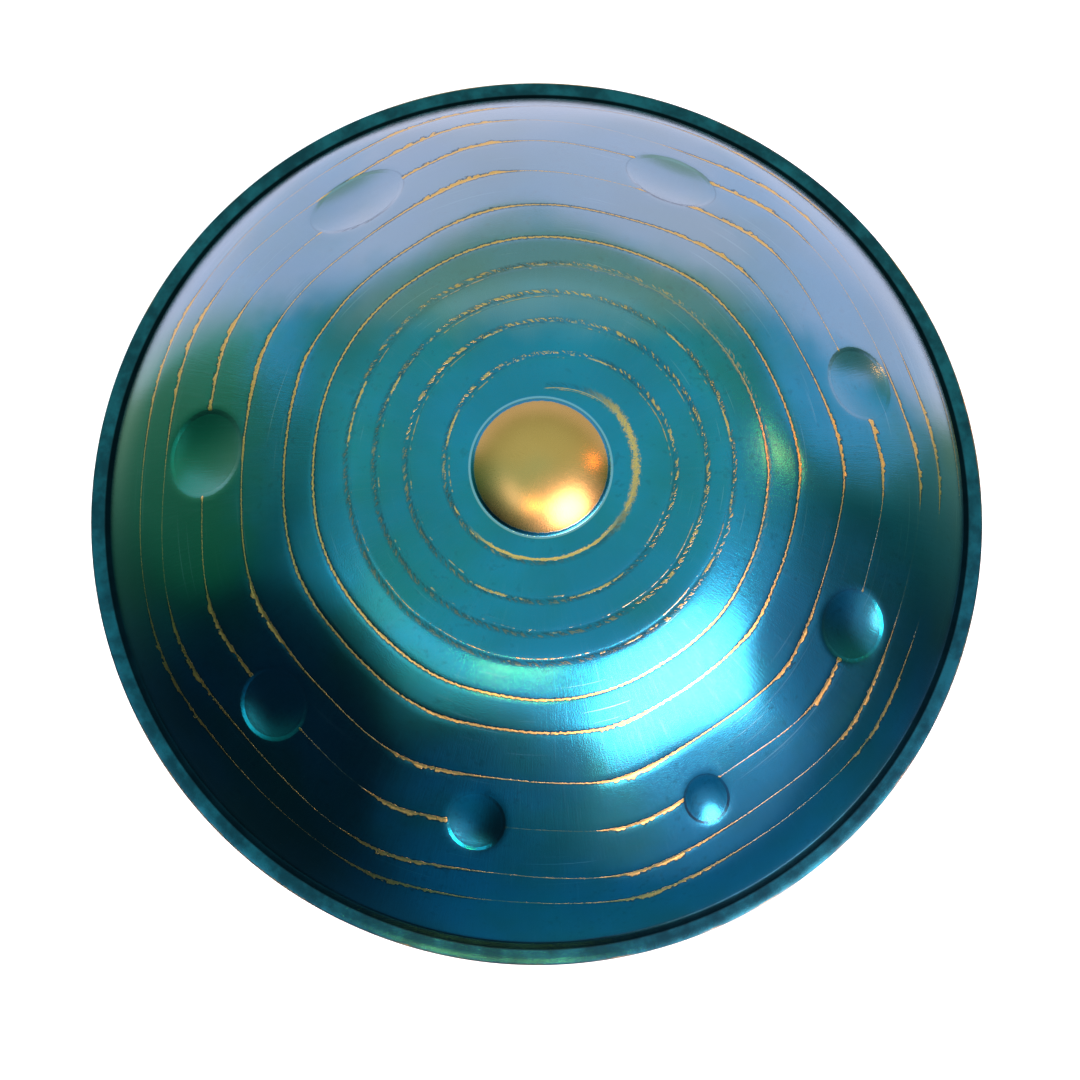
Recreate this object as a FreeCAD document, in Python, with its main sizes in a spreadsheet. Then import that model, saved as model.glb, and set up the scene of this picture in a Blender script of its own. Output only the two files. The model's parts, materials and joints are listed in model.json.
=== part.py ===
import FreeCAD, Part
import os

# Handpan: two formed steel shells glued rim to rim.
# Frame: +Z up, +Y away from the player, origin on the rest plane under the centre.
# The top shell carries a raised centre note (the ding) and a ring of tone fields, each pressed
# flat with a concave dimple in its middle. The bottom shell has the round port with its neck.
# Each shell is an outer form less a cavity form, so that the sheet has one gauge all over.

doc = FreeCAD.newDocument("handpan")
sheet = doc.addObject("Spreadsheet::Sheet", "Sizes")

# Driving dimensions in millimetres: alias, value.
DRIVING = [
    ("wall_radius", 266),       # upright step where a shell meets its flange
    ("flange_width", 14),       # from the upright step out to the rim
    ("shell_depth", 105),       # mating face of the flange to the flat crown
    ("step_height", 6),         # height of the upright step above the mating face
    ("crown_lift", 12.5),          # how far the curve's own top stands above the flat crown
    ("crown_overreach", 74),    # how far the shell's ellipse would run on beyond the step
    ("sheet_gauge", 1.2),
    ("roll_radius", 6),         # bend from the dome into the upright step
    ("bend_radius", 1.5),       # bend from the upright step into the flange
    ("rim_round", 0.8),         # broken outer corner of each flange
    ("glue_thickness", 0.8),
    ("glue_inset", 1.0),        # glue line's outer edge, in from the rim
    ("glue_set_back", 2.0),     # glue line's inner edge, out from the bend
    ("ding_radius", 36),
    ("ding_rise", 12),
    ("port_radius", 48),
    ("neck_length", 32),
    ("lip_radius", 8),
]

# Tone fields, counted anticlockwise from +X: angle in degrees, distance of the dimple's middle in
# from the step, dimple width across and along the radius, depth of the pressed flat and of the dimple.
FIELD_SIZES = ("angle", "inset", "across", "along", "press", "dent")
FIELDS = [
    (17.5, 74, 45, 53, 4.6, 4.6),
    (66.9, 68, 57, 49, 5.0, 4.8),
    (122.5, 65, 62, 53, 5.2, 5.0),
    (175.1, 77, 51, 59, 5.6, 5.2),
    (220.3, 76, 40, 50, 4.2, 4.5),
    (259.5, 78, 32, 39, 3.2, 3.8),
    (297.5, 70, 26, 36, 2.8, 3.4),
    (335.1, 75, 40, 50, 3.8, 4.4),
]

# Stamp tools stand this far proud of the metal that they press, and past the field's own outline.
TOOL_REACH = 75
TOOL_HEIGHT = 60
# An ellipsoid tool is sunk to half its own depth, where its outline is this share of its full width.
HALF_SUNK = 0.75 ** 0.5


def fill_sheet():
    rows = list(DRIVING)
    for number, values in enumerate(FIELDS, 1):
        for name, value in zip(FIELD_SIZES, values):
            rows.append((f"field_{number}_{name}", value))
    for row, (alias, value) in enumerate(rows, 1):
        sheet.set(f"A{row}", alias)
        sheet.set(f"B{row}", str(value))
        sheet.setAlias(f"B{row}", alias)
    doc.recompute()


fill_sheet()

RIM = "(Sizes.wall_radius + Sizes.flange_width)"
REACH = "(Sizes.wall_radius + Sizes.crown_overreach)"
# Half height of the shell's ellipse: it falls from its top to the step at the wall's radius.
ELLIPSE_RISE = (
    "((Sizes.shell_depth + Sizes.crown_lift - Sizes.step_height)"
    f" / (1 - sqrt(1 - (Sizes.wall_radius / {REACH})^2)))"
)
TOP_MATING = "(Sizes.shell_depth + Sizes.glue_thickness)"
TOP_CROWN = "(2 * Sizes.shell_depth + Sizes.glue_thickness)"
TOP_CENTRE = f"({TOP_CROWN} + Sizes.crown_lift - {ELLIPSE_RISE})"
BOTTOM_CENTRE = f"({ELLIPSE_RISE} - Sizes.crown_lift)"


def place(obj, x, y, z, yaw="0", pitch="0"):
    obj.setExpression("Placement", f"placement(vector({x}; {y}; {z}); rotation({yaw}; {pitch}; 0))")


def cylinder(name, radius, height, z, x="0", y="0", yaw="0", pitch="0"):
    obj = doc.addObject("Part::Cylinder", name)
    obj.setExpression("Radius", radius)
    obj.setExpression("Height", height)
    place(obj, x, y, z, yaw, pitch)
    return obj


def ellipsoid(name, up, along, across, z, x="0", y="0", yaw="0", pitch="0"):
    obj = doc.addObject("Part::Ellipsoid", name)
    obj.Angle1 = -90
    obj.setExpression("Radius1", up)
    obj.setExpression("Radius2", along)
    obj.setExpression("Radius3", across)
    place(obj, x, y, z, yaw, pitch)
    return obj


def common(name, base, tool):
    obj = doc.addObject("Part::Common", name)
    obj.Base = base
    obj.Tool = tool
    return obj


def cut(name, base, tool):
    obj = doc.addObject("Part::Cut", name)
    obj.Base = base
    obj.Tool = tool
    return obj


def fuse(name, pieces):
    obj = doc.addObject("Part::MultiFuse", name)
    obj.Shapes = pieces
    return obj


def circle_edges(shape, radius, z, slack=0.02):
    """Numbers of the edges that lie on one circle about the Z axis."""
    found = []
    for number, edge in enumerate(shape.Edges, 1):
        if edge.Degenerated:
            continue
        points = edge.discretize(9)
        if all(abs(FreeCAD.Vector(p.x, p.y, 0).Length - radius) < slack
               and abs(p.z - z) < slack for p in points):
            found.append(number)
    return found


def rounded(name, base, corners):
    """Rounds corners given as (circle radius, height, fillet radius)."""
    doc.recompute()
    obj = doc.addObject("Part::Fillet", name)
    obj.Base = base
    edges = []
    for circle, height, radius in corners:
        numbers = circle_edges(base.Shape, circle, height)
        if not numbers:
            raise ValueError(f"{name}: no round edge of radius {circle} at height {height}")
        edges += [(number, radius, radius) for number in numbers]
    obj.Edges = edges
    return obj


def on_field(number, lift):
    """Where a stamp tool for one tone field sits: x, y, z, yaw and pitch, lift along the normal."""
    ring = f"(Sizes.wall_radius - Sizes.field_{number}_inset)"
    angle = f"Sizes.field_{number}_angle"
    root = f"sqrt(1 - ({ring} / {REACH})^2)"
    slope = f"atan({ELLIPSE_RISE} * {ring} / ({REACH}^2 * {root}))"
    out = f"({ring} + ({lift}) * sin({slope}))"
    x = f"{out} * cos({angle} * 1 deg)"
    y = f"{out} * sin({angle} * 1 deg)"
    z = f"{TOP_CENTRE} + {ELLIPSE_RISE} * {root} + ({lift}) * cos({slope})"
    return {"x": x, "y": y, "z": z, "yaw": angle, "pitch": f"{slope} / 1 deg"}


def field_stamps(side, inset):
    """The pressed flats and the dimples of one face of the sheet, inset below the outer face."""
    stamps = []
    for number in range(1, len(FIELDS) + 1):
        field = f"Sizes.field_{number}_"
        at = on_field(number, f"-{field}press - {inset}")
        stamps.append(cylinder(f"{side}_flat_{number}", str(TOOL_REACH), str(TOOL_HEIGHT), **at))
        at = on_field(number, f"{field}dent - {field}press")
        stamps.append(ellipsoid(
            f"{side}_dimple_{number}",
            f"2 * {field}dent + {inset}",
            f"{field}along / 2 / {HALF_SUNK} + {inset}",
            f"{field}across / 2 / {HALF_SUNK} + {inset}",
            **at))
    return stamps


def dome_form(side, inset, centre, floor_z, height, corner_z):
    """A drum as wide as the step, domed by the ellipse; the inset makes the cavity's form."""
    drum = cylinder(f"{side}_drum", f"Sizes.wall_radius - {inset}", height, floor_z)
    dome = ellipsoid(
        f"{side}_dome", f"{ELLIPSE_RISE} - {inset}",
        f"{REACH} - {inset}", f"{REACH} - {inset}", centre)
    form = common(f"{side}_form", drum, dome)
    gauge = sheet.sheet_gauge if inset != "0" else 0
    corner = (sheet.wall_radius - gauge, corner_z, sheet.roll_radius - gauge)
    return rounded(f"{side}_rolled", form, [corner])


def corner_height(inset):
    """Height above the mating face at which the ellipse meets the step, for either face."""
    gauge = sheet.sheet_gauge if inset else 0
    reach = sheet.wall_radius + sheet.crown_overreach
    drop = sheet.shell_depth + sheet.crown_lift - sheet.step_height
    rise = drop / (1 - (1 - (sheet.wall_radius / reach) ** 2) ** 0.5)
    centre = sheet.shell_depth + sheet.crown_lift - rise
    share = (sheet.wall_radius - gauge) / (reach - gauge)
    return centre + (rise - gauge) * (1 - share ** 2) ** 0.5


def make_top_shell():
    """Top shell: dome, flange, flat crown with the ding, eight tone fields."""
    mating = sheet.shell_depth + sheet.glue_thickness
    outer = dome_form("top_outer", "0", TOP_CENTRE, TOP_MATING,
                      "Sizes.shell_depth + Sizes.crown_lift", mating + corner_height(False))
    cavity = dome_form("top_cavity", "Sizes.sheet_gauge", TOP_CENTRE, TOP_MATING,
                       "Sizes.shell_depth + Sizes.crown_lift", mating + corner_height(True))
    crown_flat = cylinder("top_crown_flat", "Sizes.wall_radius", str(TOOL_HEIGHT), TOP_CROWN)
    outer_stamps = fuse("top_outer_stamps", [crown_flat] + field_stamps("top_outer", "0"))
    pressed = cut("top_outer_pressed", outer, outer_stamps)
    crown_flat = cylinder("top_cavity_crown_flat", "Sizes.wall_radius", str(TOOL_HEIGHT),
                          f"{TOP_CROWN} - Sizes.sheet_gauge")
    cavity_stamps = fuse("top_cavity_stamps",
                         [crown_flat] + field_stamps("top_cavity", "Sizes.sheet_gauge"))
    hollow = cut("top_cavity_pressed", cavity, cavity_stamps)
    ding_centre = f"{TOP_CROWN} - Sizes.ding_rise"
    ding_width = f"Sizes.ding_radius / {HALF_SUNK}"
    ding = ellipsoid("ding_outer", "2 * Sizes.ding_rise", ding_width, ding_width, ding_centre)
    ding_under = ellipsoid(
        "ding_cavity", "2 * Sizes.ding_rise - Sizes.sheet_gauge",
        f"{ding_width} - Sizes.sheet_gauge", f"{ding_width} - Sizes.sheet_gauge", ding_centre)
    flange = cylinder("top_flange", RIM, "Sizes.sheet_gauge", TOP_MATING)
    solid = fuse("top_solid", [pressed, ding, flange])
    void = fuse("top_void", [hollow, ding_under])
    blank = cut("top_blank", solid, void)
    face = mating + sheet.sheet_gauge
    inner = sheet.wall_radius - sheet.sheet_gauge
    return rounded("top_shell", blank, [
        (sheet.wall_radius, face, sheet.bend_radius),
        (inner, mating, sheet.bend_radius + sheet.sheet_gauge),
        (sheet.wall_radius + sheet.flange_width, face, sheet.rim_round),
    ])


def make_bottom_shell():
    """Bottom shell: the same dome turned over, with the port and its neck in the flat crown."""
    mating = sheet.shell_depth
    outer = dome_form("bottom_outer", "0", BOTTOM_CENTRE, "-Sizes.crown_lift",
                      "Sizes.shell_depth + Sizes.crown_lift", mating - corner_height(False))
    cavity = dome_form("bottom_cavity", "Sizes.sheet_gauge", BOTTOM_CENTRE, "-Sizes.crown_lift",
                       "Sizes.shell_depth + Sizes.crown_lift", mating - corner_height(True))
    below = f"-{TOOL_HEIGHT}"
    crown_flat = cylinder("bottom_crown_flat", "Sizes.wall_radius", str(TOOL_HEIGHT), below)
    port = cylinder("port_bore", "Sizes.port_radius", "Sizes.neck_length", "0")
    pressed = cut("bottom_outer_pressed", outer, fuse("bottom_outer_stamps", [crown_flat, port]))
    lipped = rounded("bottom_outer_lipped", pressed,
                     [(sheet.port_radius, 0, sheet.lip_radius)])
    crown_flat = cylinder("bottom_cavity_crown_flat", "Sizes.wall_radius", str(TOOL_HEIGHT),
                          f"{below} + Sizes.sheet_gauge")
    neck = cylinder("neck_column", "Sizes.port_radius + Sizes.sheet_gauge", "Sizes.neck_length", "0")
    hollow = cut("bottom_cavity_pressed", cavity, fuse("bottom_cavity_stamps", [crown_flat, neck]))
    eased = rounded("bottom_cavity_eased", hollow, [
        (sheet.port_radius + sheet.sheet_gauge, sheet.sheet_gauge,
         sheet.lip_radius - sheet.sheet_gauge)])
    flange = cylinder("bottom_flange", RIM, "Sizes.sheet_gauge",
                      "Sizes.shell_depth - Sizes.sheet_gauge")
    blank = cut("bottom_blank", fuse("bottom_solid", [lipped, flange]), eased)
    face = mating - sheet.sheet_gauge
    inner = sheet.wall_radius - sheet.sheet_gauge
    return rounded("bottom_shell", blank, [
        (sheet.wall_radius, face, sheet.bend_radius),
        (inner, mating, sheet.bend_radius + sheet.sheet_gauge),
        (sheet.wall_radius + sheet.flange_width, face, sheet.rim_round),
    ])


def make_rim_adhesive():
    """Adhesive: the cured flat ring between the two flanges."""
    disc = cylinder("glue_disc", f"{RIM} - Sizes.glue_inset", "Sizes.glue_thickness",
                    "Sizes.shell_depth")
    hole = cylinder("glue_hole", "Sizes.wall_radius + Sizes.bend_radius + Sizes.glue_set_back",
                    "Sizes.glue_thickness", "Sizes.shell_depth")
    return cut("rim_adhesive", disc, hole)


def check(pieces):
    for obj in doc.Objects:
        if "Invalid" in obj.State or "Error" in obj.State:
            raise RuntimeError(f"{obj.Name} failed: {obj.State}")
    for piece in pieces:
        if piece.Shape.isNull() or not piece.Shape.isValid():
            raise RuntimeError(f"{piece.Label} has no valid shape")
        if len(piece.Shape.Solids) != 1:
            raise RuntimeError(f"{piece.Label} has {len(piece.Shape.Solids)} solids")


pieces = [make_bottom_shell(), make_rim_adhesive(), make_top_shell()]
for piece in pieces:
    piece.Label = piece.Name
doc.recompute()
check(pieces)

os.makedirs("parts", exist_ok=True)
for piece in pieces:
    piece.Shape.exportStep(f"parts/{piece.Label}.step")
    print(piece.Label, "has", len(piece.Shape.Faces), "faces")
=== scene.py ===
import json
import math

import bmesh
import bpy
from mathutils import Matrix, Vector


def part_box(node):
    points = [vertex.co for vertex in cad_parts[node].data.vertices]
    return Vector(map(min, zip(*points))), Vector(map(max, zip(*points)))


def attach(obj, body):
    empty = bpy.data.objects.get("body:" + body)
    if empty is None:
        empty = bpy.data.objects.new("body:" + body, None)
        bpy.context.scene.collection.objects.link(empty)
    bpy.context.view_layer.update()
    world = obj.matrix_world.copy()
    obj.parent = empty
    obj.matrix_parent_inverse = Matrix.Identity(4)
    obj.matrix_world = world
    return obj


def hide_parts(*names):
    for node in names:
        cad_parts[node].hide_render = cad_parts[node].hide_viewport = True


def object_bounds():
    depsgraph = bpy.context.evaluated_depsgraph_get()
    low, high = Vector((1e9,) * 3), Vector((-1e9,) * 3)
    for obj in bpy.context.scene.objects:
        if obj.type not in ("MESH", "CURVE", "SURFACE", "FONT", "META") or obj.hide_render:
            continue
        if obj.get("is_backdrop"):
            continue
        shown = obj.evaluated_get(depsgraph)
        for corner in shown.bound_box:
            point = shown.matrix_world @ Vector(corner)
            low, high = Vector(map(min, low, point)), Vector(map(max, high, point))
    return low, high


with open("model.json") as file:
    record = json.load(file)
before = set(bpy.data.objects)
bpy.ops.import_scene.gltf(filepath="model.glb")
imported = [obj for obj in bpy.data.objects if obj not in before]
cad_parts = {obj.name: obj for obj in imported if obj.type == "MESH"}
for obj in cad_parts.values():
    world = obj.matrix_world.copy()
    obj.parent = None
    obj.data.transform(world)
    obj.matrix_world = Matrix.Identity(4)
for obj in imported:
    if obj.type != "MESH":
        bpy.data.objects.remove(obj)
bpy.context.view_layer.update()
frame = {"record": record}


# ---------------------------------------------------------------------------
# The studio: a pale floor, a soft surround with a bright window on the near
# right and a pale wall behind the instrument, three small warm lamps, and a
# camera almost straight above the playing side.
# ---------------------------------------------------------------------------

MM = 0.001


class Flow:
    """One value of a node tree, so that a shape or a pattern is written as plain arithmetic."""

    def __init__(self, socket):
        self.socket = socket
        self.tree = socket.id_data

    def __add__(self, other):
        return work(self.tree, "ADD", self, other)

    def __sub__(self, other):
        return work(self.tree, "SUBTRACT", self, other)

    def __rsub__(self, other):
        return work(self.tree, "SUBTRACT", other, self)

    def __mul__(self, other):
        return work(self.tree, "MULTIPLY", self, other)

    def __truediv__(self, other):
        return work(self.tree, "DIVIDE", self, other)

    __radd__ = __add__
    __rmul__ = __mul__

    def size(self):
        return work(self.tree, "ABSOLUTE", self)

    def root(self):
        return work(self.tree, "SQRT", self)

    def sine(self):
        return work(self.tree, "SINE", self)

    def cosine(self):
        return work(self.tree, "COSINE", self)

    def least(self, other):
        return work(self.tree, "MINIMUM", self, other)

    def most(self, other):
        return work(self.tree, "MAXIMUM", self, other)

    def rise(self, low, high):
        """0 below low, 1 above high and a smooth step between them."""
        node = self.tree.nodes.new("ShaderNodeMapRange")
        node.interpolation_type = "SMOOTHSTEP"
        feed(node.inputs["Value"], self)
        feed(node.inputs["From Min"], low)
        feed(node.inputs["From Max"], high)
        return Flow(node.outputs["Result"])


def feed(socket, value):
    """Links a value to a socket, or sets the socket to a plain number or colour."""
    if isinstance(value, Flow):
        socket.id_data.links.new(value.socket, socket)
    elif isinstance(value, bpy.types.NodeSocket):
        socket.id_data.links.new(value, socket)
    elif hasattr(value, "__len__") and len(value) == 3 and socket.type == "RGBA":
        socket.default_value = (*value, 1.0)
    else:
        socket.default_value = value


def work(tree, operation, *values):
    node = tree.nodes.new("ShaderNodeMath")
    node.operation = operation
    for socket, value in zip(node.inputs, values):
        feed(socket, value)
    return Flow(node.outputs[0])


def between(share, first, second):
    """The first value where the share is 0 and the second where it is 1."""
    return share * second + (1.0 - share) * first


def parts_of(tree, vector):
    node = tree.nodes.new("ShaderNodeSeparateXYZ")
    feed(node.inputs[0], vector)
    return [Flow(output) for output in node.outputs]


def whole_of(tree, x, y, z):
    node = tree.nodes.new("ShaderNodeCombineXYZ")
    for socket, value in zip(node.inputs, (x, y, z)):
        feed(socket, value)
    return node.outputs[0]


def blended(tree, mask, first, second):
    """A colour that goes from the first to the second as the mask goes from 0 to 1."""
    node = tree.nodes.new("ShaderNodeMix")
    node.data_type = "RGBA"
    feed(node.inputs[0], mask)
    feed(node.inputs[6], first)
    feed(node.inputs[7], second)
    return node.outputs[2]


view_settings = bpy.context.scene.view_settings
view_settings.view_transform = "Standard"
view_settings.look = "None"

aim_point = Vector((0, 0, 0.107))
stand_off = 0.56
tilt, turn = math.radians(9.17), math.radians(-3.31)
aim_right, aim_down = math.radians(0.22), math.radians(2.63)
away = Vector((math.sin(turn) * math.sin(tilt), -math.cos(turn) * math.sin(tilt), math.cos(tilt)))
right = (-away).cross(Vector((0, 0, 1))).normalized()
above = right.cross(-away)
sight = -away + right * math.tan(aim_right) - above * math.tan(aim_down)
back = -sight.normalized()
across = Vector((0, 1, 0)).cross(back).normalized()
camera_data = bpy.data.cameras.new("camera")
camera_data.lens = 29.67
camera_data.sensor_width = 36.0
camera_data.clip_start = 0.01
camera = bpy.data.objects.new("camera", camera_data)
bpy.context.scene.collection.objects.link(camera)
axes = Matrix((across, back.cross(across), back)).transposed()
camera.matrix_world = Matrix.Translation(aim_point + away * stand_off) @ axes.to_4x4()
bpy.context.scene.camera = camera

floor_reach = 6.0
floor_mesh = bpy.data.meshes.new("floor")
floor_z = -0.5 * MM
floor_signs = [(-1, -1), (1, -1), (1, 1), (-1, 1)]
floor_corners = [(x * floor_reach, y * floor_reach, floor_z) for x, y in floor_signs]
floor_mesh.from_pydata(floor_corners, [], [(0, 1, 2, 3)])
floor = bpy.data.objects.new("floor", floor_mesh)
bpy.context.scene.collection.objects.link(floor)
floor.visible_glossy = False
floor_paint = bpy.data.materials.new("floor_paint")
floor_paint.use_nodes = True
floor_shader = floor_paint.node_tree.nodes["Principled BSDF"]
floor_shader.inputs["Base Color"].default_value = (0.8, 0.8, 0.8, 1)
floor_shader.inputs["Roughness"].default_value = 0.9
floor_shader.inputs["Emission Color"].default_value = (1, 1, 1, 1)
floor_shader.inputs["Emission Strength"].default_value = 0.62
floor_mesh.materials.append(floor_paint)
floor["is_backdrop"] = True

world = bpy.data.worlds.new("surround")
bpy.context.scene.world = world
world.use_nodes = True
sky = world.node_tree
direction = sky.nodes.new("ShaderNodeTexCoord").outputs["Generated"]
east, north, high = parts_of(sky, direction)
level = (east * east + north * north).root().most(0.01)
facing = north / level
low_down = 1.0 - high.rise(0.2, 0.5)
wall = (facing + east * 0.04).rise(0.33, 0.4) * low_down
haze = facing.rise(0.0, 0.6) * (1.0 - high.rise(0.94, 0.97))
near = 1.0 - (north + 0.2 * high).rise(-0.4, 0.2)
overhead = high.rise(0.4, 0.85)
window_side = Vector((0.48, -0.57, 0.67)).normalized()
toward_window = east * window_side.x + north * window_side.y + high * window_side.z
wings = high.rise(0.7, 0.77) * (1.0 - high.rise(0.84, 0.91)) * (facing * -1.0).rise(-0.15, 0.6)
blue_side = (east * 0.3 - north * 0.95).rise(0.35, 0.95) * (east + 0.5).rise(-0.1, 0.5)
glow = blended(sky, overhead, (0.08, 0.26, 0.2), (0.58, 0.92, 0.94))
glow = blended(sky, near * (1.0 - overhead), glow, (0.01, 0.03, 0.045))
glow = blended(sky, blue_side * (1.0 - overhead), glow, (0.03, 0.29, 0.45))
glow = blended(sky, haze * 0.6, glow, (0.9, 0.95, 0.75))
glow = blended(sky, wall, glow, (1.05, 1.0, 1.2))
glow = blended(sky, wings * 0.75, glow, (2.4, 2.2, 2.5))
glow = blended(sky, toward_window.rise(0.66, 0.98) * 0.7, glow, (1.4, 1.2, 1.5))
glow = blended(sky, toward_window.rise(0.925, 0.985), glow, (16.0, 10.0, 10.0))
seen = sky.nodes.new("ShaderNodeLightPath").outputs["Is Camera Ray"]
glow = blended(sky, seen, glow, (1.0, 1.0, 1.0))
feed(sky.nodes["Background"].inputs["Color"], glow)


def soft_light(name, azimuth, zenith, distance, width, height, strength, colour=(1, 1, 1)):
    """A rectangular light that faces the middle of the playing side, placed by its direction from there."""
    azimuth, zenith = math.radians(azimuth), math.radians(zenith)
    data = bpy.data.lights.new(name, "AREA")
    data.shape = "RECTANGLE"
    data.size, data.size_y = width, height
    data.energy = strength
    data.color = colour
    lamp = bpy.data.objects.new(name, data)
    bpy.context.scene.collection.objects.link(lamp)
    level_share = math.sin(zenith)
    toward = Vector((math.cos(azimuth) * level_share, math.sin(azimuth) * level_share, math.cos(zenith)))
    lamp.location = Vector((0, 0, 0.2)) + toward * distance
    lamp.rotation_mode = "QUATERNION"
    lamp.rotation_quaternion = toward.to_track_quat("Z", "Y")
    return lamp


soft_light("warm_lamp_right", 17, 58, 2.0, 0.14, 0.2, 2.6, (1.0, 0.24, 0.03))
soft_light("warm_lamp_near", -104, 34, 2.0, 0.12, 0.08, 2.4, (1.0, 0.42, 0.06))
soft_light("warm_lamp_front", -88, 34, 2.0, 0.12, 0.08, 2.0, (1.0, 0.42, 0.06))


# ---------------------------------------------------------------------------
# Bottom shell: deep-drawn sheet steel with the same heat colour as the top
# one and no tone fields. Its flat land stands on the lap or the table, and
# the round port in the middle has a rolled lip and a neck turned inwards.
# ---------------------------------------------------------------------------

gauge = 1.2 * MM
wall_radius = 266 * MM
rim_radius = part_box("bottom_shell")[1].x
mating_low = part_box("bottom_shell")[1].z
dome_reach = 340 * MM
shell_depth = 105 * MM
crown_lift = 12.5 * MM
step_height = 6 * MM
corner_roll = 6 * MM
flange_bend = 1.5 * MM
edge_round = 1.0 * MM
land_blend = 2.5 * MM
dome_height = (shell_depth + crown_lift - step_height) / (1 - math.sqrt(1 - (wall_radius / dome_reach) ** 2))


def dome_rise(radius):
    """Height of the pressed dome above the mating face, before its crown is flattened."""
    fall = dome_height * (1 - math.sqrt(1 - (radius / dome_reach) ** 2))
    return shell_depth + crown_lift - fall


def crowned_rise(radius):
    """The same with the flat crown, joined to the dome by a soft bend."""
    rise = dome_rise(radius)
    overlap = max(land_blend - abs(rise - shell_depth), 0) / land_blend
    return min(rise, shell_depth) - overlap**3 * land_blend / 6


def dome_slope(radius):
    step = 0.01 * MM
    return math.atan((crowned_rise(radius - step) - crowned_rise(radius + step)) / (2 * step))


def arc(centre_r, centre_z, radius, start, end, steps):
    """Points of a circular arc of a profile, with its angles in degrees from the outward direction."""
    angles = [math.radians(start + (end - start) * i / steps) for i in range(steps + 1)]
    return [(centre_r + radius * math.cos(a), centre_z + radius * math.sin(a)) for a in angles]


def rim_profile():
    """The rolled shoulder, step and flange of a shell, from the dome's outside round to its inside."""
    roll_centre = wall_radius - corner_roll
    tangent_r = roll_centre
    for _ in range(20):
        tangent_r = roll_centre + corner_roll * math.sin(dome_slope(tangent_r))
    slope = dome_slope(tangent_r)
    roll_z = crowned_rise(tangent_r) - corner_roll * math.cos(slope)
    start = 90 - math.degrees(slope)
    bend_r = wall_radius + flange_bend
    bend_z = gauge + flange_bend
    points = [(r, crowned_rise(r)) for r in (shoulder_radius, (shoulder_radius + tangent_r) / 2)]
    points += arc(roll_centre, roll_z, corner_roll, start, 0, 6)
    points += arc(bend_r, bend_z, flange_bend, 180, 270, 4)
    points += [(bend_r + (rim_radius - edge_round - bend_r) * i / 3, gauge) for i in range(1, 3)]
    points += arc(rim_radius - edge_round, gauge - edge_round, edge_round, 90, 0, 4)
    points += [(rim_radius, 0)]
    points += [((rim_radius + bend_r) / 2, 0)]
    points += arc(bend_r, bend_z, flange_bend + gauge, 270, 180, 4)
    points += arc(roll_centre, roll_z, corner_roll - gauge, 0, start, 4)
    return points


def inner_dome(first, last, rows):
    """The inside of the dome, one sheet thickness under its outside, row by row towards the middle."""
    points = []
    for i in range(rows + 1):
        radius = first + (last - first) * i / rows
        slope = dome_slope(radius)
        points.append((radius - gauge * math.sin(slope), crowned_rise(radius) - gauge * math.cos(slope)))
    return points


def spun(name, profile, columns, closed):
    """A mesh with the profile turned round the vertical axis; a closed profile makes a ring-like solid."""
    shape = bmesh.new()
    rings = []
    for radius, height in profile:
        angles = [math.tau * i / columns for i in range(columns)]
        rings.append([shape.verts.new((radius * math.cos(a), radius * math.sin(a), height)) for a in angles])
    pairs = list(zip(rings, rings[1:]))
    if closed:
        pairs.append((rings[-1], rings[0]))
    for outer, inner in pairs:
        for i in range(columns):
            j = (i + 1) % columns
            shape.faces.new((outer[i], inner[i], inner[j], outer[j]))
    mesh = bpy.data.meshes.new(name)
    shape.to_mesh(mesh)
    shape.free()
    return mesh


def placed(name, mesh, material, node):
    """Closes a finished mesh, turns its faces outwards, and puts it in place of a plain solid."""
    shape = bmesh.new()
    shape.from_mesh(mesh)
    bmesh.ops.remove_doubles(shape, verts=shape.verts, dist=0.004 * MM)
    bmesh.ops.recalc_face_normals(shape, faces=shape.faces)
    for face in shape.faces:
        face.smooth = True
    shape.to_mesh(mesh)
    shape.free()
    if not mesh.materials:
        mesh.materials.append(material)
    piece = bpy.data.objects.new(name, mesh)
    bpy.context.scene.collection.objects.link(piece)
    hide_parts(node)
    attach(piece, "root")
    return piece


port_radius = frame["record"]["mounts"][0]["dims"]["r_mm"] * MM
lip_radius = 8 * MM
neck_length = 32 * MM
neck_rows = 6
land_radius = port_radius + lip_radius
shoulder_radius = 262 * MM
dome_rows = 56

rows = [land_radius + (shoulder_radius - land_radius) * i / dome_rows for i in range(dome_rows)]
profile = [(port_radius, shell_depth - neck_length * (1 - i / neck_rows)) for i in range(neck_rows)]
profile = [(r, z) for r, z in profile if z < shell_depth - lip_radius - 0.5 * MM]
profile += arc(land_radius, shell_depth - lip_radius, lip_radius, 180, 90, 8)[:-1]
profile += [(r, crowned_rise(r)) for r in rows]
profile += rim_profile()
profile += inner_dome(shoulder_radius - 2 * MM, land_radius, 24)
profile += arc(land_radius, shell_depth - lip_radius, lip_radius - gauge, 90, 180, 6)
profile += [(port_radius + gauge, shell_depth - neck_length + 0.5 * gauge)]
profile += arc(port_radius + gauge / 2, shell_depth - neck_length + 0.6 * MM, gauge / 2, 0, -180, 4)
bottom_mesh = spun("bottom_shell_skin", [(r, mating_low - z) for r, z in profile], 360, True)


def shader_group(name, inputs, outputs):
    """An empty shader node group with named inputs, given with their first values, and named outputs."""
    tree = bpy.data.node_groups.new(name, "ShaderNodeTree")
    for label, value in inputs.items():
        kind = "NodeSocketColor" if hasattr(value, "__len__") else "NodeSocketFloat"
        socket = tree.interface.new_socket(label, in_out="INPUT", socket_type=kind)
        socket.default_value = (*value, 1.0) if kind == "NodeSocketColor" else value
    for label, kind in outputs.items():
        tree.interface.new_socket(label, in_out="OUTPUT", socket_type=kind)
    entry = tree.nodes.new("NodeGroupInput")
    leave = tree.nodes.new("NodeGroupOutput")
    return tree, entry.outputs, leave.inputs


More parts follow.
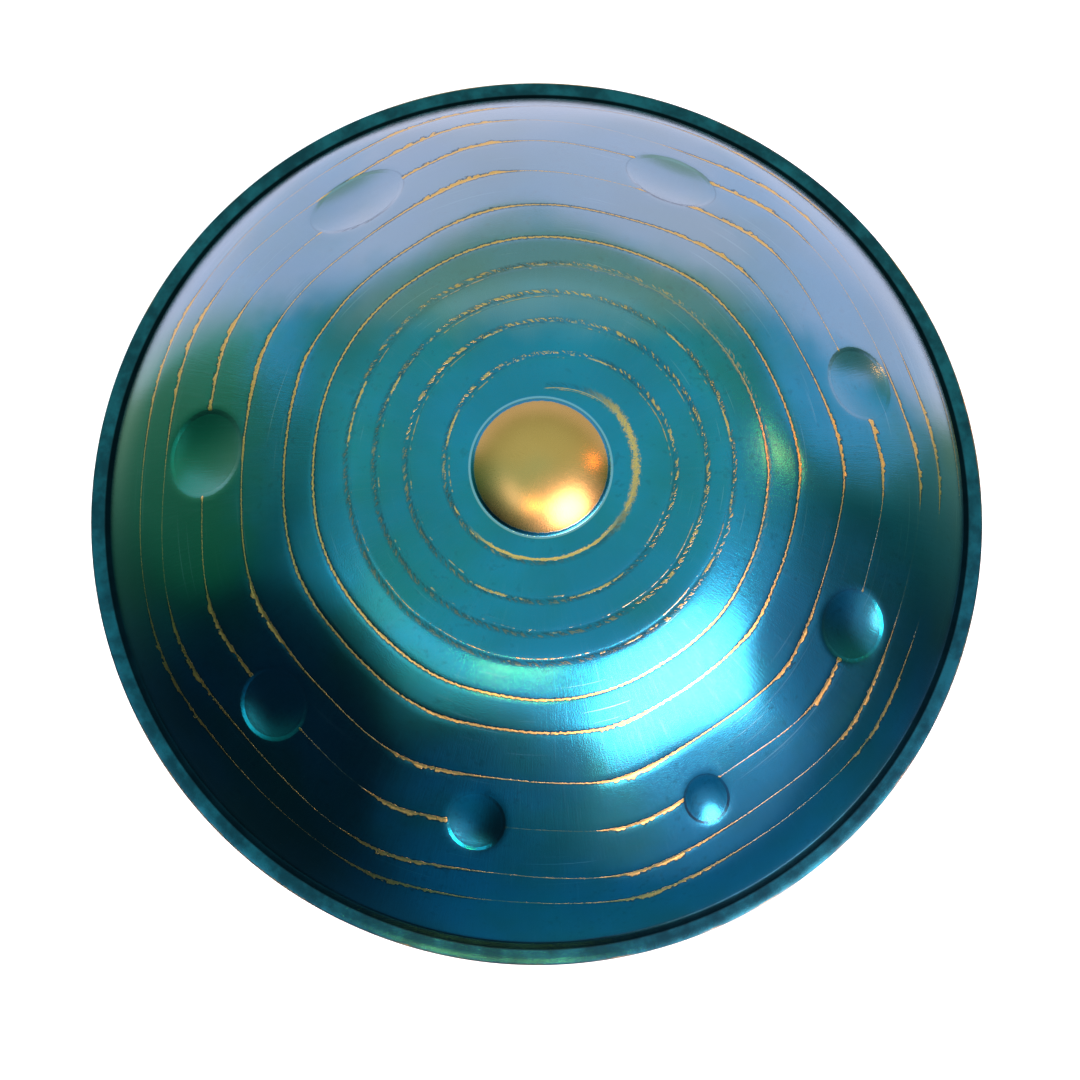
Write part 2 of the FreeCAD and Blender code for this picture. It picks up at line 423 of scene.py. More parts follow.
def use_group(tree, group, **values):
    node = tree.nodes.new("ShaderNodeGroup")
    node.node_tree = group
    for label, value in values.items():
        feed(node.inputs[label.replace("_", " ")], value)
    return node.outputs


def noise(tree, vector, scale, detail=2.0, roughness=0.5):
    """Smooth noise from 0 to 1, mostly near 0.5."""
    node = tree.nodes.new("ShaderNodeTexNoise")
    feed(node.inputs["Vector"], vector)
    feed(node.inputs["Scale"], scale)
    feed(node.inputs["Detail"], detail)
    feed(node.inputs["Roughness"], roughness)
    return Flow(node.outputs["Fac"])


def object_place(tree):
    return tree.nodes.new("ShaderNodeTexCoord").outputs["Object"]


# Heat colour: the oxide skin of a nitrided and tempered shell. It drifts between
# blue-teal and green in soft clouds, and has small darker speckles.
heat_colour, given, made = shader_group(
    "heat_colour",
    {"Blue": (0.002, 0.235, 0.38), "Green": (0.002, 0.2, 0.2), "Greenness": 0.3, "Speckle": 0.25},
    {"Color": "NodeSocketColor"},
)
place = object_place(heat_colour)
cloud = noise(heat_colour, place, 9.0, 3.0)
fine_cloud = noise(heat_colour, place, 45.0, 3.0)
share = (cloud * 0.8 + fine_cloud * 0.2 - 0.7 + Flow(given["Greenness"])).rise(-0.12, 0.2)
skin = blended(heat_colour, share, given["Blue"], given["Green"])
speck = noise(heat_colour, place, 240.0, 4.0, 0.6).rise(0.52, 0.72) * Flow(given["Speckle"])
dim = noise(heat_colour, place, 16.0, 2.0).rise(0.35, 0.7) * 0.22
feed(made["Color"], blended(heat_colour, speck.most(dim), skin, (0.001, 0.045, 0.06)))

# Satin grain: the fine scratches of radial brushing, with a little orange peel under them.
# Height is in metres for a Bump node, Gloss varies the roughness, and Scratch and Arcs are
# masks of the pale radial scratches and of the few that run round the shell.
satin_grain, given, made = shader_group(
    "satin_grain",
    {"Brushing": 1.0, "Peel": 1.0},
    {label: "NodeSocketFloat" for label in ("Height", "Gloss", "Scratch", "Arcs")},
)
place = object_place(satin_grain)
x, y, z = parts_of(satin_grain, place)
radius = (x * x + y * y).root().most(2 * MM)
strokes = whole_of(satin_grain, x / radius * 260, y / radius * 260, radius * 70)
brushing = noise(satin_grain, strokes, 1.0, 2.0, 0.6)
wide_strokes = whole_of(satin_grain, x / radius * 105, y / radius * 105, radius * 45)
wide_brushing = noise(satin_grain, wide_strokes, 1.0, 3.0, 0.7)
sparkle = noise(satin_grain, place, 1500.0, 2.0)
peel = noise(satin_grain, place, 160.0, 2.0)
strokes_height = (brushing * 0.6 + wide_brushing * 0.45) * Flow(given["Brushing"])
height = (strokes_height + sparkle * 0.9) * (0.06 * MM)
feed(made["Height"], height + peel * Flow(given["Peel"]) * (0.02 * MM))
feed(made["Gloss"], brushing * 0.3 + wide_brushing * 0.4 + peel * 0.3)
turned = whole_of(satin_grain, x / radius * 2.2, y / radius * 2.2, radius * 900)
feed(made["Arcs"], (noise(satin_grain, turned, 1.0, 1.0) + sparkle * 0.1).rise(0.75, 0.81))
feed(made["Scratch"], (wide_brushing * 0.5 + brushing * 0.3 + sparkle * 0.2).rise(0.52, 0.66))

# Edge wear: coat rubbed through to pale metal along the outer edge of a flange,
# in patches rather than all the way round.
edge_wear, given, made = shader_group(
    "edge_wear",
    {"Edge radius": rim_radius, "Width": 0.9 * MM},
    {"Mask": "NodeSocketFloat"},
)
place = object_place(edge_wear)
x, y, z = parts_of(edge_wear, place)
radius = (x * x + y * y).root()
patches = noise(edge_wear, place, 14.0, 3.0).rise(0.44, 0.62)
ragged = (noise(edge_wear, place, 420.0, 3.0) - 0.5) * Flow(given["Width"])
close = (radius + ragged - (Flow(given["Edge radius"]) - Flow(given["Width"]))).rise(-0.2 * MM, 0.3 * MM)
feed(made["Mask"], close * patches)


def coated_steel(name, coat_roughness, metal_roughness):
    """A material with a bare metal shader: its tree and the shader, for a section to connect."""
    material = bpy.data.materials.new(name)
    material.use_nodes = True
    tree = material.node_tree
    shader = tree.nodes["Principled BSDF"]
    shader.inputs["Metallic"].default_value = 1.0
    shader.inputs["Roughness"].default_value = metal_roughness
    shader.inputs["Coat Weight"].default_value = 0.5
    shader.inputs["Coat Roughness"].default_value = coat_roughness
    shader.inputs["Coat IOR"].default_value = 1.5
    return material, tree, shader


def bumped(tree, shader, height, strength=1.0):
    bump = tree.nodes.new("ShaderNodeBump")
    bump.inputs["Strength"].default_value = strength
    bump.inputs["Distance"].default_value = 1.0
    feed(bump.inputs["Height"], height)
    feed(shader.inputs["Normal"], bump.outputs["Normal"])


worn_metal = (0.72, 0.5, 0.22)

plain_coat, tree, shader = coated_steel("plain_shell_coat", 0.2, 0.27)
colour = use_group(tree, heat_colour, Greenness=0.22)["Color"]
wear = Flow(use_group(tree, edge_wear)["Mask"])
grain = use_group(tree, satin_grain, Brushing=0.6)
feed(shader.inputs["Base Color"], blended(tree, wear, colour, worn_metal))
feed(shader.inputs["Roughness"], Flow(grain["Gloss"]) * 0.12 + 0.21)
bumped(tree, shader, grain["Height"])

placed("bottom_shell_skin", bottom_mesh, plain_coat, "bottom_shell")


# ---------------------------------------------------------------------------
# Rim adhesive: a bead of dark structural adhesive between the two flanges.
# It is squeezed out a little unevenly, and stays just inside the rim edge.
# ---------------------------------------------------------------------------

glue_low, glue_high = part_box("rim_adhesive")
glue_columns = 720
glue_inner = glue_high.x - 9.5 * MM
bulge_steps = 4
glue_middle = (glue_low.z + glue_high.z) / 2
glue_half = (glue_high.z - glue_low.z) / 2
profile = arc(glue_high.x - glue_half, glue_middle, glue_half, 90, -90, bulge_steps)
profile += [(glue_inner, glue_low.z), (glue_inner, glue_high.z)]
glue_mesh = spun("adhesive_bead", profile, glue_columns, True)
squeeze = 0.35 * MM
for vertex in glue_mesh.vertices:
    if vertex.co.xy.length > glue_inner + MM:
        bearing = math.atan2(vertex.co.y, vertex.co.x)
        waves = math.sin(bearing * 23) + math.sin(bearing * 61 + 1.3)
        waves += 0.6 * math.sin(bearing * 140 + 0.4)
        vertex.co.xy *= 1 + squeeze * waves / 2.6 / vertex.co.xy.length

glue_paint = bpy.data.materials.new("cured_adhesive")
glue_paint.use_nodes = True
tree = glue_paint.node_tree
shader = tree.nodes["Principled BSDF"]
shader.inputs["Roughness"].default_value = 0.45
place = object_place(tree)
smear = noise(tree, place, 120.0, 3.0)
feed(shader.inputs["Base Color"], blended(tree, smear, (0.012, 0.013, 0.014), (0.035, 0.036, 0.034)))
bumped(tree, shader, smear * (0.1 * MM))

placed("adhesive_bead", glue_mesh, glue_paint, "rim_adhesive")


# ---------------------------------------------------------------------------
# Top shell: hammered sheet steel with a raised dome in the middle, eight
# flattened tone fields with a pressed-in dimple each, and a line ground
# through the heat colour by hand that winds out from the dome to the rim.
# ---------------------------------------------------------------------------

mating_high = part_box("top_shell")[0].z
crown_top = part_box("top_shell")[1].z
plateau = mating_high + shell_depth
ding_radius = 36 * MM
ding_rise = crown_top - plateau
crease_width = 2.0 * MM
crown_radius = 38 * MM
turn_columns = 480

# Each tone field: its direction from +X, its distance in from the wall, its dimple across and
# along the radius, how deep the field is pressed, and how deep the dimple is.
tone_fields = [
    (17.5, 74, 45, 53, 4.6, 4.6),
    (66.9, 68, 57, 49, 5.0, 4.8),
    (122.5, 65, 62, 53, 5.2, 5.0),
    (175.1, 77, 51, 59, 5.6, 5.2),
    (220.3, 76, 40, 50, 4.2, 4.5),
    (259.5, 78, 32, 39, 3.2, 3.8),
    (297.5, 70, 26, 36, 2.8, 3.4),
    (335.1, 75, 40, 50, 3.8, 4.4),
]
field_curve = 1.2
field_blend = 4 * MM

ding_ball = (ding_radius**2 + ding_rise**2) / (2 * ding_rise)


def ding_profile():
    """The middle dome and its creased foot, from the pole out to where the ground line's band starts."""
    foot_r = ding_radius - crease_width / 2
    points = []
    for i in range(15):
        radius = foot_r * i / 14
        points.append((radius, plateau + math.sqrt(ding_ball**2 - radius**2) - (ding_ball - ding_rise)))
    points += [(ding_radius, plateau - 0.2 * MM), (ding_radius + 0.5 * MM, plateau - 0.25 * MM)]
    points += [(ding_radius + crease_width / 2, plateau - 0.1 * MM)]
    return points + [(crown_radius, plateau)]


skirt = [(r, mating_high + z) for r, z in rim_profile() + inner_dome(shoulder_radius - 2 * MM, 0, 14)]
skirt_mesh = spun("skirt", skirt, turn_columns, False)
crown_mesh = spun("crown", ding_profile(), turn_columns, False)
shape = bmesh.new()
shape.from_mesh(skirt_mesh)
shape.from_mesh(crown_mesh)
top_mesh = bpy.data.meshes.new("top_shell_skin")
shape.to_mesh(top_mesh)
shape.free()
bpy.data.meshes.remove(skirt_mesh)
bpy.data.meshes.remove(crown_mesh)


def geometry_group(name, inputs, outputs):
    """An empty geometry node group with named inputs, given with their first values, and named outputs."""
    tree = bpy.data.node_groups.new(name, "GeometryNodeTree")
    for label, value in inputs.items():
        if value is None:
            tree.interface.new_socket(label, in_out="INPUT", socket_type="NodeSocketGeometry")
            continue
        kind = "NodeSocketInt" if isinstance(value, int) else "NodeSocketFloat"
        tree.interface.new_socket(label, in_out="INPUT", socket_type=kind).default_value = value
    for label, kind in outputs.items():
        tree.interface.new_socket(label, in_out="OUTPUT", socket_type=kind)
    entry = tree.nodes.new("NodeGroupInput")
    leave = tree.nodes.new("NodeGroupOutput")
    return tree, entry.outputs, leave.inputs


def use_geometry_group(tree, group, **values):
    node = tree.nodes.new("GeometryNodeGroup")
    node.node_tree = group
    for label, value in values.items():
        feed(node.inputs[label.replace("_", " ")], value)
    return [Flow(output) for output in node.outputs]


# The ground line: its radius and its weight as functions of the turns made so far. It starts beside
# the dome, winds clockwise, steps out once a turn on the far side, and swings out on the ridges
# between the tone fields.
line_start = 84.0
line_turns = 10.3
first_radius = 41.0
start_growth = 6.8
turn_gaps = [20.0, 16.2, 14.5, 20.0, 18.0, 28.0, 27.5, 29.0, 17.0, 23.0]
ridge_lead = 6.0
ridge_swing = 3.6
line_depth = 0.3
hammer_marks = 0.22

field_angles = [field[0] for field in tone_fields]
ridges = [(a + b) / 2 + ridge_lead for a, b in zip(field_angles, field_angles[1:] + [field_angles[0] + 360])]

line_path, given, made = geometry_group(
    "line_path",
    {"Turn": 0.0, "Swing": ridge_swing, "Wander": 1.0},
    {"Radius": "NodeSocketFloat", "Weight": "NodeSocketFloat"},
)
turn_now = Flow(given["Turn"])
radius = turn_now.rise(-0.04, 0.15) * start_growth + first_radius
for number, gap in enumerate(turn_gaps):
    radius = radius + turn_now.rise(number + 0.70, number + 1.25) * gap
bearing = work(line_path, "FLOORED_MODULO", turn_now * -360.0 + (line_start - ridges[0] + 360.0), 360.0)
phase = None
for low, high in zip(ridges, ridges[1:] + [ridges[0] + 360]):
    node = line_path.nodes.new("ShaderNodeMapRange")
    feed(node.inputs["Value"], bearing)
    feed(node.inputs["From Min"], low - ridges[0])
    feed(node.inputs["From Max"], high - ridges[0])
    part = Flow(node.outputs["Result"])
    phase = part if phase is None else phase + part
valley = (phase * math.pi).sine()
ridge = 1.0 - (valley * valley + 0.1).root() * 2.0
swinging = radius.rise(95.0, 205.0) * (1.0 - radius.rise(232.0, 260.0))
hand = line_path.nodes.new("ShaderNodeTexNoise")
hand.noise_dimensions = "1D"
feed(hand.inputs["W"], turn_now * 11.0)
feed(hand.inputs["Scale"], 1.0)
feed(hand.inputs["Detail"], 2.0)
shake = (Flow(hand.outputs["Fac"]) - 0.5) * Flow(given["Wander"])
shake = shake * (turn_now * 0.4 + 0.5).least(2.4) * (1.0 - turn_now.rise(9.4, 10.0))
feed(made["Radius"], radius + ridge * swinging * Flow(given["Swing"]) + shake)
after_ridge = phase - work(line_path, "FLOOR", phase)
stroke = (1.0 - after_ridge.rise(0.08, 0.48)).most(after_ridge.rise(0.84, 1.0))
fading = radius.rise(120.0, 185.0)
press = noise(line_path, whole_of(line_path, turn_now * 6.0, 0.0, 3.7), 1.0, 2.0)
feed(made["Weight"], 0.66 - fading * 0.5 + stroke * fading * 1.15 + (press - 0.5) * 0.7)

# One tone field: the height of its flattened cap, how deep its dimple is at a point, and a value
# that is above 0 inside the dimple's outline and below 0 outside.
tone_field, given, made = geometry_group(
    "tone_field",
    {
        "X": 0.0,
        "Y": 0.0,
        "Angle": 0.0,
        "Ring": 190.0,
        "Across": 40.0,
        "Along": 50.0,
        "Press": 4.0,
        "Dent": 3.0,
    },
    {"Cap": "NodeSocketFloat", "Dimple": "NodeSocketFloat", "Inside": "NodeSocketFloat"},
)
east, north = Flow(given["X"]), Flow(given["Y"])
cosine, sine = Flow(given["Angle"]).cosine(), Flow(given["Angle"]).sine()
ring = Flow(given["Ring"])
reach = dome_reach / MM
top_z = (shell_depth + crown_lift - dome_height) / MM
slant = (1.0 - ring * ring / reach**2).root()
steepness = ring * (dome_height / MM / reach**2) / slant
lean = (steepness * steepness + 1.0).root()
outward = east * cosine + north * sine - ring
sideways = north * cosine - east * sine
along = outward * lean
bow = (along * along + sideways * sideways) / (2 * field_curve / MM)
middle = slant * (dome_height / MM) + top_z
feed(made["Cap"], middle - steepness * outward - Flow(given["Press"]) * lean - bow)
near_side = sideways / (Flow(given["Across"]) * 0.5)
near_along = along / (Flow(given["Along"]) * 0.5)
inside = 1.0 - near_side * near_side - near_along * near_along
feed(made["Dimple"], inside.most(0.0) * Flow(given["Dent"]))
feed(made["Inside"], inside)

# The whole skin.
shell_tree, given, made = geometry_group(
    "top_shell_shape",
    {
        "Geometry": None,
        "Columns per turn": turn_columns,
        "Line depth mm": line_depth,
        "Hammer marks mm": hammer_marks,
        "Swing mm": ridge_swing,
    },
    {"Geometry": "NodeSocketGeometry"},
)
row_count = 12
near_rows = [(1, 0.7, 0.14), (2, 1.6, 0.34)]
full_turns = len(turn_gaps) + 2
strip = shell_tree.nodes.new("GeometryNodeMeshGrid")
columns = Flow(given["Columns per turn"]) * float(full_turns)
feed(strip.inputs["Vertices X"], columns + 1.0)
feed(strip.inputs["Size X"], columns)
feed(strip.inputs["Vertices Y"], row_count + 1)
feed(strip.inputs["Size Y"], float(row_count))
place = shell_tree.nodes.new("GeometryNodeInputPosition").outputs[0]
grid_x, grid_y, _ = parts_of(shell_tree, place)
turns = work(shell_tree, "ROUND", grid_x + columns * 0.5) / Flow(given["Columns per turn"]) - 1.0
row = work(shell_tree, "ROUND", grid_y)

crown_edge, shoulder_edge = crown_radius / MM, shoulder_radius / MM


def line_at(turn_value):
    return use_geometry_group(shell_tree, line_path, Turn=turn_value, Swing=Flow(given["Swing mm"]))


def border_of(turn_value, here, after):
    """The border between one turn of the strip and the next, held to the dome's foot and to the shoulder."""
    border = between(turn_value.rise(-1.0, -0.4), crown_edge, (here + after) * 0.5)
    return between(turn_value.rise(9.1, 9.9), border, shoulder_edge)


before_r, _ = line_at(turns - 1.0)
here_r, weight = line_at(turns)
after_r, _ = line_at(turns + 1.0)
inner_edge = border_of(turns - 1.0, before_r, here_r)
outer_edge = border_of(turns, here_r, after_r)
midway = (inner_edge + outer_edge) * 0.5
ended = (turns.rise(line_turns - 0.1, line_turns + 0.15)).most(1.0 - turns.rise(-0.5, -0.05))
line_r = between(ended, here_r, midway)
line_r = line_r.most(inner_edge).least(outer_edge)
outside = row.rise(0.0, 1.0)
gap = between(outside, line_r - inner_edge, outer_edge - line_r)
rank = row.size()
(_, first_mm, first_share), (_, second_mm, second_share) = near_rows
first_off = (gap * first_share).least(first_mm)
second_off = (gap * second_share).least(second_mm)
near_off = between((rank - 1.0).most(0.0).least(1.0), first_off * rank.least(1.0), second_off)
far_off = second_off + (gap - second_off) * (rank - 2.0) / (row_count / 2 - 2.0)
offset = between((rank - 2.0).rise(0.0, 0.5), near_off, far_off)
signed = offset * (outside * 2.0 - 1.0)
skin_r = line_r + signed
angle = (turns * -360.0 + line_start) * (math.pi / 180)

fade = turns.rise(-0.02, 0.05) * (1.0 - turns.rise(line_turns - 0.25, line_turns))
line_weight = weight.most(0.0) * fade

mark_line = shell_tree.nodes.new("GeometryNodeStoreNamedAttribute")
mark_line.data_type = "FLOAT_VECTOR"
mark_line.domain = "CORNER"
mark_line.inputs["Name"].default_value = "line"
feed(mark_line.inputs["Geometry"], strip.outputs["Mesh"])
feed(mark_line.inputs["Value"], whole_of(shell_tree, turns, signed, line_weight))


def fields_at(east, north, surface):
    """The surface with all tone fields pressed in, their dimples' depth, and the value inside a dimple."""
    dimples, inside = 0.0, -1.0
    for bearing, inset, wide, long, press_depth, dent in tone_fields:
        cap, dimple, within = use_geometry_group(
            shell_tree,
            tone_field,
            X=east,
            Y=north,
            Angle=math.radians(bearing),
            Ring=wall_radius / MM - inset,
            Across=wide,
            Along=long,
            Press=press_depth,
            Dent=dent,
        )
        surface = work(shell_tree, "SMOOTH_MIN", surface, cap, field_blend / MM)
        dimples = dimple + dimples
        inside = within.most(inside)
    return surface, dimples, inside


skin_x, skin_y = skin_r * angle.cosine(), skin_r * angle.sine()
fall = (1.0 - skin_r * skin_r / reach**2).root() * (dome_height / MM) + top_z
skin_z = work(shell_tree, "SMOOTH_MIN", fall, shell_depth / MM, land_blend / MM)
cut = work(shell_tree, "EXPONENT", signed * signed * -1.1) * line_weight.least(1.0)
uncut = fields_at(skin_x, skin_y, skin_z)[2].rise(-0.05, 0.02)
cut = cut * (1.0 - uncut) * Flow(given["Line depth mm"])
shape_strip = shell_tree.nodes.new("GeometryNodeSetPosition")
feed(shape_strip.inputs["Geometry"], mark_line.outputs["Geometry"])
spot = whole_of(
    shell_tree,
    skin_x * MM,
    skin_y * MM,
    (skin_z - cut) * MM + mating_high,
)
feed(shape_strip.inputs["Position"], spot)

mark_rest = shell_tree.nodes.new("GeometryNodeStoreNamedAttribute")
mark_rest.data_type = "FLOAT_VECTOR"
mark_rest.domain = "CORNER"
mark_rest.inputs["Name"].default_value = "line"
feed(mark_rest.inputs["Geometry"], given["Geometry"])
feed(mark_rest.inputs["Value"], whole_of(shell_tree, -9.0, 99.0, 0.0))

join = shell_tree.nodes.new("GeometryNodeJoinGeometry")
feed(join.inputs[0], shape_strip.outputs["Geometry"])
feed(join.inputs[0], mark_rest.outputs["Geometry"])
weld = shell_tree.nodes.new("GeometryNodeMergeByDistance")
feed(weld.inputs["Geometry"], join.outputs[0])
feed(weld.inputs["Distance"], 0.02 * MM)

place = shell_tree.nodes.new("GeometryNodeInputPosition").outputs[0]
east, north, _ = parts_of(shell_tree, place)
east, north = east / MM, north / MM
radius = (east * east + north * north).root()
domed = (1.0 - radius * radius / reach**2).root() * (dome_height / MM) + top_z
plain = work(shell_tree, "SMOOTH_MIN", domed, shell_depth / MM, land_blend / MM)
pressed, dimples, inside = fields_at(east, north, plain)
marks = (noise(shell_tree, place, 26.0, 1.0) - 0.5) * Flow(given["Hammer marks mm"]) * 2.0
marks = marks * (1.0 - radius.rise(225.0, 258.0)) * radius.rise(crown_edge, 60.0)
drop = (plain - pressed + dimples - marks) * (1.0 - radius.rise(252.0, 261.0))
mark_dimple = shell_tree.nodes.new("GeometryNodeStoreNamedAttribute")
mark_dimple.data_type = "FLOAT"
mark_dimple.domain = "POINT"
mark_dimple.inputs["Name"].default_value = "dimple"
feed(mark_dimple.inputs["Geometry"], weld.outputs["Geometry"])
feed(mark_dimple.inputs["Value"], inside)
hammer = shell_tree.nodes.new("GeometryNodeSetPosition")
feed(hammer.inputs["Geometry"], mark_dimple.outputs["Geometry"])
feed(hammer.inputs["Offset"], whole_of(shell_tree, 0.0, 0.0, drop * -MM))

realize = shell_tree.nodes.new("GeometryNodeRealizeInstances")
feed(realize.inputs[0], hammer.outputs["Geometry"])
paint = shell_tree.nodes.new("GeometryNodeSetMaterial")
feed(paint.inputs["Geometry"], realize.outputs[0])
feed(made["Geometry"], paint.outputs[0])

# The coat of the playing side, with the ground line, the bare dome and the worn rim.
ground_coat, tree, shader = coated_steel("ground_shell_coat", 0.22, 0.25)


def attribute(tree, name, output="Vector"):
    node = tree.nodes.new("ShaderNodeAttribute")
    node.attribute_name = name
    return node.outputs[output]


place = object_place(tree)
x, y, z = parts_of(tree, place)
radius = (x * x + y * y).root()
turn_here, off_line, strong = parts_of(tree, attribute(tree, "line"))
ragged = noise(tree, place, 420.0, 3.0) - 0.5
finer = noise(tree, place, 1300.0, 2.0) - 0.5
patchy = noise(tree, place, 38.0, 2.0)

hollow = Flow(attribute(tree, "dimple", "Fac"))
inner_turns = 1.0 - turn_here.rise(3.9, 4.4)
travel = (turn_here * 48.0 + turn_here * turn_here * 8.5) * math.tau
twist = (travel * (math.tau / 4.2) + off_line * 2.4 + ragged * 3.0).sine()
twisted = (1.0 - turn_here.rise(6.0, 6.8)) * twist * 0.24
pinch = 1.0 - (hollow + 0.03).size().rise(0.02, 0.17)
half_width = strong * 0.58 + 0.1 + twisted * strong.least(0.6) + pinch * 0.45
burr = noise(tree, place, 150.0, 2.0) - 0.5
barb = strong.rise(0.6, 1.1) * off_line.rise(0.0, 0.6) * (burr * 2.4 + ragged * 0.8 + 0.15) * 2.6
reach_in = half_width + barb + ragged * 1.5 * strong + finer * 1.1 - off_line.size()
plain_line = reach_in.rise(-0.12, 0.14) * (1.0 - inner_turns) * strong.rise(0.02, 0.2)

slanted = whole_of(tree, travel * 0.5 + off_line * 0.75, off_line * 0.3 - travel * 0.04, turn_here * 3.0)
flecks = noise(tree, slanted, 1.0, 2.0, 0.6)
rope_band = (0.85 - (off_line - 1.9).size() + ragged * 1.5).rise(-0.3, 0.3)
rope = rope_band * (flecks + finer * 0.15).rise(0.5, 0.57) * (patchy + finer * 0.4).rise(0.4, 0.5)
# Painted light: the rope flecks are brighter on the side of the shell that faces the light and dimmer away
# from it.
lit_side = (x * 0.6 + y * 0.8 + (patchy - 0.5) * 0.22).rise(-0.07, 0.03)
rope = rope * turn_here.rise(0.4, 0.6) * (lit_side * 0.75 + 0.25)
streak = (0.26 - (off_line + 0.9).size() + ragged * 1.0).rise(-0.1, 0.25)
streak = streak * (patchy + ragged * 0.5).rise(0.53, 0.6)
solid = (0.6 - (off_line - 0.9).size() + ragged * 1.6 + finer * 0.8).rise(-0.1, 0.25)
solid = solid * (1.0 - (patchy + ragged * 0.3).rise(0.37, 0.43))
start_patch = turn_here.rise(0.05, 0.16) * (1.0 - turn_here.rise(0.24, 0.38))
smear = (2.1 + ragged * 5.0 + finer * 3.6 - (off_line - 1.2).size()).rise(-0.6, 1.4) * start_patch
smear = smear * (0.55 + (flecks * 2.0 - 0.6).most(0.0)).least(0.9)
lead_in = (0.25 + ragged * 0.5 - off_line.size()).rise(-0.1, 0.2) * (1.0 - turn_here.rise(0.1, 0.14))
second = turn_here.rise(0.28, 0.4) * (1.0 - turn_here.rise(0.56, 0.63))
smear = smear.most((0.75 + ragged * 1.4 - off_line.size()).rise(-0.1, 0.3) * second).most(lead_in * 0.8)
inner_line = (rope * 0.8).most(solid * 0.85).most(streak * 0.6).most(smear)
inner_line = inner_line * inner_turns * strong.rise(0.02, 0.1)
broken = 1.0 - (hollow + ragged * 0.1 + finer * 0.06).rise(0.05, 0.1)
gold_line = (plain_line * broken).most(inner_line)

# Dark marks by the inner turns: a fine dark line inside each turn and a dotted hatch band outside it. The
# hatch band is also a painted shadow under the rope, darker on the side away from the light. The outer lines
# get a dark edge.
dark_inner_line = (0.3 - (off_line + 1.2).size() + ragged * 0.5).rise(-0.2, 0.4) * patchy.rise(0.4, 0.65) * 0.45
dots = (flecks + finer * 0.2).rise(0.42, 0.55) * 0.5 + 0.25
hatch_and_painted_shade = (1.5 - (off_line - 1.5).size() + ragged * 1.0 + finer * 0.8).rise(-1.0, 1.2) * dots
hatch_and_painted_shade = hatch_and_painted_shade * (noise(tree, place, 14.0, 1.0).rise(0.36, 0.6) * 0.8 + 0.2).most(0.9 - lit_side * 0.6)
marks_and_painted_shade = dark_inner_line.most(hatch_and_painted_shade) * inner_turns * strong.rise(0.02, 0.1)
border = (1.0 - (reach_in + 0.3).size()).rise(0.25, 0.9) * strong.rise(0.1, 0.4) * broken
marks_and_painted_shade = marks_and_painted_shade.most(border * (1.0 - inner_turns) * 0.65)
# Painted shade: a thin dark line along each dimple's rim.
dimple_rim_shade = (1.0 - (hollow - 0.03).size() * 20.0).rise(0.0, 0.8)
marks_and_painted_shade = marks_and_painted_shade.most(dimple_rim_shade * patchy.rise(0.35, 0.6) * 0.2)

dome_mask = 1.0 - (radius + ragged * (0.8 * MM)).rise(33.9 * MM, 34.5 * MM)

coat = use_group(tree, heat_colour, Greenness=0.2)["Color"]
drift = (patchy - 0.5) * 0.05
# Painted reflection: a pale grey patch on the coat above the dome, where the pale surround shows in the
# shell.
painted_grey_reflection = (y + drift * 0.6).rise(0.06, 0.095) * (1.0 - (x.size() + drift).rise(0.09, 0.13))
coat = blended(tree, painted_grey_reflection * 0.32, coat, (0.36, 0.42, 0.42))
# Painted reflection: the far side of the shell is paler and more lavender, as the pale wall behind shows in
# it.
painted_far_reflection = (y + x.size() * 0.36 + x * 0.04 + drift * 0.6).rise(0.125, 0.16)
coat = blended(tree, painted_far_reflection * 0.52, coat, (0.33, 0.42, 0.52))
# Painted reflection: a green patch on the left side of the shell, where the green surround shows in it.
painted_green_reflection = (1.0 - (x + drift).rise(-0.18, -0.13)) * (1.0 - (y - 0.01).size().rise(0.06, 0.11))
coat = blended(tree, painted_green_reflection * 0.9, coat, (0.002, 0.2, 0.12))
grain = use_group(tree, satin_grain, Brushing=1.0)
scratches = (Flow(grain["Scratch"]) * 0.05).most(Flow(grain["Arcs"]) * radius.rise(0.05, 0.12) * 0.22)
coat = blended(tree, scratches, coat, (0.38, 0.56, 0.62))
# A pale ring on the crease at the dome's foot: steel rubbed pale there, with a painted highlight of the
# crease on it.
crease_rub_and_highlight = (1.0 - (radius - 36.6 * MM).size() * (1 / (0.75 * MM))).rise(0.0, 0.5)
band = radius.rise(266.5 * MM, 268.5 * MM)
clouds = noise(tree, place, 60.0, 4.0, 0.65).rise(0.35, 0.7)
band_coat = blended(tree, clouds, (0.002, 0.045, 0.065), (0.008, 0.11, 0.15))
coat = blended(tree, band, coat, band_coat)
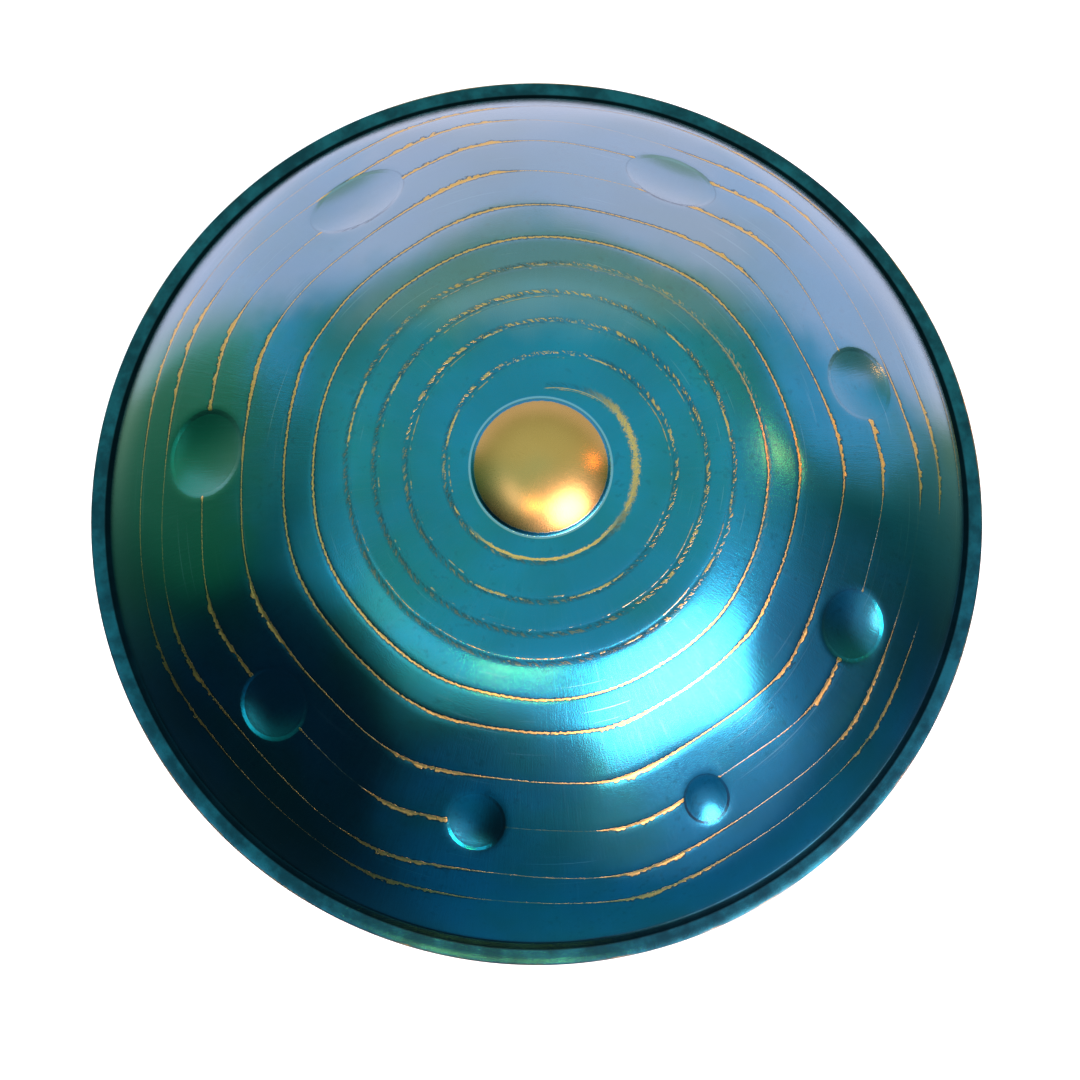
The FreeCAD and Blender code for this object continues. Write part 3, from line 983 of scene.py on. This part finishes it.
# Painted shade: the crevice where the wall meets the flange is painted nearly black, with no coat on it.
painted_shade_outer_edge = (radius + finer * (0.5 * MM)).rise(270.6 * MM, 271.8 * MM)
painted_crevice_shade = radius.rise(264.8 * MM, 265.8 * MM) * (1.0 - painted_shade_outer_edge)
coat = blended(tree, painted_crevice_shade * 0.95, coat, (0.001, 0.004, 0.006))
# The dark marks and the painted shade darken the coat here.
coat = blended(tree, marks_and_painted_shade, coat, (0.004, 0.03, 0.035))
wear = Flow(use_group(tree, edge_wear)["Mask"])
gold = blended(tree, ragged + 0.5, (0.84, 0.56, 0.19), (0.58, 0.36, 0.1))
brass = blended(tree, noise(tree, place, 30.0, 3.0), (0.46, 0.29, 0.08), (0.56, 0.37, 0.13))
gold = blended(tree, dome_mask, gold, brass)
coat = blended(tree, crease_rub_and_highlight * 0.36, coat, (0.5, 0.72, 0.8))
bare = gold_line.most(dome_mask).most(wear * 0.8)
feed(shader.inputs["Base Color"], blended(tree, bare, coat, gold))
feed(shader.inputs["Roughness"], Flow(grain["Gloss"]) * 0.15 + 0.07 + gold_line * 0.14 + dome_mask * 0.12)
feed(shader.inputs["Coat Weight"], (1.0 - bare.most(painted_crevice_shade).most(band * 0.7)) * 0.5)
relief = Flow(grain["Height"]) * (1.0 - dome_mask * 0.6)
relief = relief + gold_line * (0.06 * MM) + ragged * gold_line * (0.12 * MM)
lip = (hollow.most(0.0) * 5.0).least(1.0)
bumped(tree, shader, relief - lip * (0.45 * MM))

paint.inputs["Material"].default_value = ground_coat

maker = bpy.data.objects.new("shell_maker", top_mesh)
bpy.context.scene.collection.objects.link(maker)
press_shell = maker.modifiers.new("shape", "NODES")
press_shell.node_group = shell_tree
shell_sizes = {
    "Columns per turn": turn_columns,
    "Line depth mm": line_depth,
    "Hammer marks mm": hammer_marks,
    "Swing mm": ridge_swing,
}
for item in shell_tree.interface.items_tree:
    if item.in_out == "INPUT" and item.name in shell_sizes:
        press_shell[item.identifier] = shell_sizes[item.name]
bpy.context.view_layer.update()
finished = bpy.data.meshes.new_from_object(maker.evaluated_get(bpy.context.evaluated_depsgraph_get()))
bpy.data.objects.remove(maker)
bpy.data.meshes.remove(top_mesh)
finished.name = "top_shell_skin"
placed("top_shell_skin", finished, ground_coat, "top_shell")


low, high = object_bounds()
